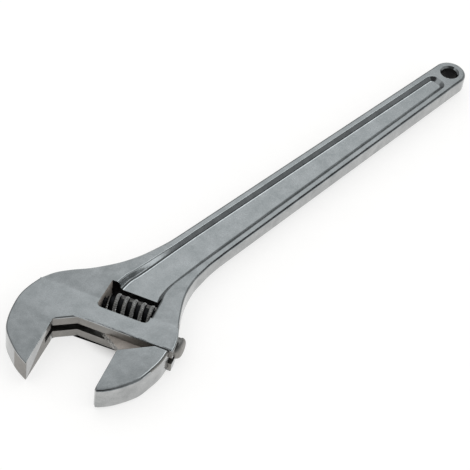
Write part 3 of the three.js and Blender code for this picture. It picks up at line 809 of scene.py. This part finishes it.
def jawFinishAndPaintedLight(u, v, z, normal):  # 1 milled, 2 sheared with painted glints, 3 painted light
    level = abs(normal.z)
    onWeb = abs(z) < jaw["webThickness"] / 2 + zones["webEase"]
    # The web's sheared front: painted glints and painted shade
    if onWeb and u < jaw["opening"] and normal.dot(slide) < -0.3 and level < 0.5:
        return 2
    # The web's flat sides: painted light
    if onWeb and level > 0.9:
        return 3
    onEdge = abs(z) > jaw["thickness"] / 4 and 0.2 < level < 0.985
    dressed = onEdge and u > jaw["opening"] + zones["dressedFrom"] and v < zones["dressedTo"]
    return int(v < -0.5 or dressed)


def wormPaintedShade(u, v, z, normal):  # 1 painted shade between the threads
    return int(math.hypot(v + pin["below"], z) < thread["radius"] - worm["under"] - worm["bright"])


webLow = jaw["webHeight"] - jaw["webSlope"] * (jaw["opening"] - rack["start"]) - rack["endGap"]
finishPiece(makeBody(webLow), "wrench_body", "body",
            [satinChrome, milledSteel, paintedShadeSteel, oiledSteelPaintedLight], 20, bodyFinishAndPaintedLight)
finishPiece(makeJaw(), "movable_jaw", "jaw",
            [satinChrome, milledSteel, shearedSteelPaintedGlints, oiledSteelPaintedLight], 35, jawFinishAndPaintedLight)
finishPiece(makeWorm(), "adjusting_worm", "worm", [turnedSteel, paintedShadeSteel], 40, wormPaintedShade)
finishPiece(makePin(), "worm_pin", "body", [blackenedSteel])
finishPiece(makeSpring(), "worm_spring", "body", [blackenedSteel], 60)


# Studio: white table in a white surround, and over the wrench a tent that only the metal sees

studio = {
    "floorColour": "#f6f5f3",
    "floorSize": 6.0,         # in metres, as are the gap and the tent's radius
    "floorGap": 0.0002,
    "fibre": 2.5,             # mm
    "fibreTone": 0.06,
    "glow": 1.17,
    "floorGlow": 0.55,        # share of the glow in the table as the camera and the metal see it
    "shade": (24, 38),        # the glow sets in this far from the window, in mm
    "surround": 0.95,
    "tent": {
        "radius": 3.0,
        "centre": 120,        # on the handle's axis, in mm from the datum
        "tint": "#e9eff2",
        "peak": 2.5,
        # Tone by the angle about the handle's axis, from the right-hand horizon over the top to the left
        "handle": [(0, 1.5), (17, 1.5), (21, 0.34), (44, 0.3), (53, 0.06), (76, 0.06), (81, 2.3),
                   (103, 2.3), (108, 0.7), (113, 0.74), (115.5, 0.82), (118, 1.14), (120, 1.22),
                   (121.5, 1.2), (123, 1.03), (125, 0.95), (128.5, 0.84), (139, 0.58), (150, 0.32),
                   (163, 0.22), (180, 0.22)],
        "tips": [(0, 0.9), (10, 0.9), (14, 0.42), (36, 0.38), (46, 0.07), (101, 0.07)],
        "middle": [(0, 0.9), (10, 0.9), (14, 0.42), (101, 0.36)],
        "left": [(107, 0.5), (115, 0.7), (120, 0.77), (135, 0.5), (150, 0.3), (180, 0.25)],
        # Tips and middle share the left part. Where one gives way to the next, in the direction's x:
        "middleTurn": (-0.06, 0.12),
        "handleTurn": (0.33, 0.42),
        "farTurn": (0.68, 0.76),
        "farTone": 0.45,
        "overhead": 0.8,
        "overheadRim": (10, 7),   # degrees from straight up
    },
}


def seenDirectly(tree):  # 1 for rays from the camera, off metal and through glass
    path = addNode(tree, "ShaderNodeLightPath")
    seen = addNode(tree, "ShaderNodeMath", {"operation": "MAXIMUM"},
                   {0: path.outputs["Is Camera Ray"], 1: path.outputs["Is Glossy Ray"]})
    return addNode(tree, "ShaderNodeMath", {"operation": "MAXIMUM"},
                   {0: seen.outputs[0], 1: path.outputs["Is Transmission Ray"]}).outputs[0]


def makeFloor(under):  # under: the middle of the worm's window, where the table lies in the dark
    bm = bmesh.new()
    bmesh.ops.create_grid(bm, x_segments=2, y_segments=2, size=studio["floorSize"] / 2)
    floor = linked("studioTable", bm)
    floor.location.z = cadBox[0][2] - studio["floorGap"]
    paper, tree = emptyMaterial("whitePaper")
    fibre = addNode(tree, "ShaderNodeTexNoise", {"Scale": 1 / (studio["fibre"] * mm)})
    tone = addNode(tree, "ShaderNodeMapRange", {"To Min": 1 - studio["fibreTone"], "To Max": 1.0},
                   {"Value": fibre.outputs["Fac"]})
    shade = addNode(tree, "ShaderNodeMix", {"data_type": "RGBA", "blend_type": "MULTIPLY"},
                    {7: tone.outputs["Result"]})
    shade.inputs[0].default_value = 1.0
    shade.inputs[6].default_value = linear(studio["floorColour"])
    diffuse = addNode(tree, "ShaderNodeBsdfDiffuse", {}, {"Color": shade.outputs[2]})
    white = addNode(tree, "ShaderNodeEmission", {"Color": (1, 1, 1, 1), "Strength": studio["glow"]})
    place = addNode(tree, "ShaderNodeTexCoord")
    away = addNode(tree, "ShaderNodeVectorMath", {"operation": "DISTANCE", 1: under},
                   {0: place.outputs["Object"]})
    clear = addNode(tree, "ShaderNodeMapRange",
                    {"From Min": studio["shade"][0] * mm, "From Max": studio["shade"][1] * mm,
                     "To Max": studio["floorGlow"]}, {"Value": away.outputs["Value"]})
    share = addNode(tree, "ShaderNodeMath", {"operation": "MULTIPLY"},
                    {0: clear.outputs["Result"], 1: seenDirectly(tree)})
    paperLook = addNode(tree, "ShaderNodeMixShader", {},
                        {0: share.outputs[0], 1: diffuse.outputs["BSDF"], 2: white.outputs["Emission"]})
    addNode(tree, "ShaderNodeOutputMaterial", {}, {"Surface": paperLook.outputs["Shader"]})
    floor.data.materials.append(paper)


def makeWorld():
    world = bpy.data.worlds.new("whiteSurround")
    bpy.context.scene.world = world
    world.use_nodes = True
    tree = world.node_tree
    tree.nodes.clear()
    strength = addNode(tree, "ShaderNodeMapRange", {"To Min": studio["surround"], "To Max": 1.0},
                       {"Value": seenDirectly(tree)})
    white = addNode(tree, "ShaderNodeBackground", {"Color": (1, 1, 1, 1)},
                    {"Strength": strength.outputs["Result"]})
    addNode(tree, "ShaderNodeOutputWorld", {}, {"Surface": white.outputs["Background"]})


def toneBand(tree, stops, share):  # tones at angles in degrees, as shares of the tent's peak
    node = addNode(tree, "ShaderNodeValToRGB", {}, {"Fac": share})
    band = node.color_ramp.elements
    band.remove(band[1])
    for angle, _ in stops[1:]:
        band.new(angle / 180)
    for spot, (_, tone) in zip(band, stops):
        spot.color = (*[tone / studio["tent"]["peak"]] * 3, 1)
    return node.outputs["Color"]


def plainTone(tree, tone):
    value = addNode(tree, "ShaderNodeValue")
    value.outputs[0].default_value = tone / studio["tent"]["peak"]
    return value.outputs[0]


def blend(tree, first, second, along, ends):  # from the first tone to the second between two values
    share = addNode(tree, "ShaderNodeMapRange", {"From Min": ends[0], "From Max": ends[1]}, {"Value": along})
    return addNode(tree, "ShaderNodeMix", {"data_type": "RGBA"},
                   {0: share.outputs["Result"], 6: first, 7: second}).outputs[2]


def makeTent(target):
    look = studio["tent"]
    bm = bmesh.new()
    bmesh.ops.create_uvsphere(bm, u_segments=64, v_segments=32, radius=look["radius"])
    cutAcross(bm, (0, 0, 0), (0, 0, 1), drop=True)
    tent = linked("lightTent", bm)
    tent.location = target
    tent.visible_camera = False
    tent.visible_diffuse = False
    tent.visible_shadow = False
    cloth, tree = emptyMaterial("tentCloth")
    place = addNode(tree, "ShaderNodeTexCoord")
    way = addNode(tree, "ShaderNodeVectorMath", {"operation": "NORMALIZE"}, {0: place.outputs["Object"]})
    part = addNode(tree, "ShaderNodeSeparateXYZ", {}, {0: way.outputs[0]})
    right = addNode(tree, "ShaderNodeMath", {"operation": "MULTIPLY", 1: -1.0}, {0: part.outputs["Y"]})
    angle = addNode(tree, "ShaderNodeMath", {"operation": "ARCTAN2"},
                    {0: part.outputs["Z"], 1: right.outputs[0]})
    share = addNode(tree, "ShaderNodeMath", {"operation": "DIVIDE", 1: math.pi}, {0: angle.outputs[0]})
    x, fraction = part.outputs["X"], share.outputs[0]
    tone = toneBand(tree, look["tips"] + look["left"], fraction)
    tone = blend(tree, tone, toneBand(tree, look["middle"] + look["left"], fraction), x, look["middleTurn"])
    tone = blend(tree, tone, toneBand(tree, look["handle"], fraction), x, look["handleTurn"])
    tone = blend(tree, tone, plainTone(tree, look["farTone"]), x, look["farTurn"])
    rim = [math.cos(math.radians(a)) for a in look["overheadRim"]]
    tone = blend(tree, tone, plainTone(tree, look["overhead"]), part.outputs["Z"], rim)
    tinted = addNode(tree, "ShaderNodeMix", {"data_type": "RGBA", "blend_type": "MULTIPLY"}, {6: tone})
    tinted.inputs[0].default_value = 1.0
    tinted.inputs[7].default_value = linear(look["tint"])
    glow = addNode(tree, "ShaderNodeEmission", {"Strength": look["peak"]}, {"Color": tinted.outputs[2]})
    addNode(tree, "ShaderNodeOutputMaterial", {}, {"Surface": glow.outputs["Emission"]})
    tent.data.materials.append(cloth)


# The photo's camera, solved from its perspective, in degrees, millimetres and the photo's pixels
camera = {
    "azimuth": -52.1106,
    "elevation": 47.1383,
    "roll": 8.3730,
    "distance": 1279.317,
    "target": (146.811, -5.805),
    "focalPixels": 1789.62,
    "frameWidth": 470,
    "sensor": 36,
    "clipEnd": 20,            # in metres
}


def makeCamera():
    az, el, roll = (math.radians(camera[k]) for k in ("azimuth", "elevation", "roll"))
    back = Vector((math.sin(az) * math.cos(el), -math.cos(az) * math.cos(el), math.sin(el)))
    right = Vector((math.cos(az), math.sin(az), 0))
    up = back.cross(right)
    across = right * math.cos(roll) + up * math.sin(roll)
    above = up * math.cos(roll) - right * math.sin(roll)
    lens = bpy.data.cameras.new("photoView")
    lens.sensor_width = camera["sensor"]
    lens.lens = camera["focalPixels"] * camera["sensor"] / camera["frameWidth"]
    lens.clip_end = camera["clipEnd"]
    view = bpy.data.objects.new("photoView", lens)
    bpy.context.scene.collection.objects.link(view)
    turn = Matrix((across, above, back)).transposed().to_4x4()
    spot = toFrame @ (Vector((*camera["target"], 0)) + back * camera["distance"])
    view.matrix_world = Matrix.Translation(spot) @ turn
    bpy.context.scene.camera = view


makeFloor(toFrame @ at((window["start"] + window["end"]) / 2, -(window["near"] + window["far"]) / 2))
makeWorld()
makeTent(toFrame @ Vector((studio["tent"]["centre"], 0, 0)))
makeCamera()
bpy.context.scene.view_settings.view_transform = "Standard"
print("studio and camera set")
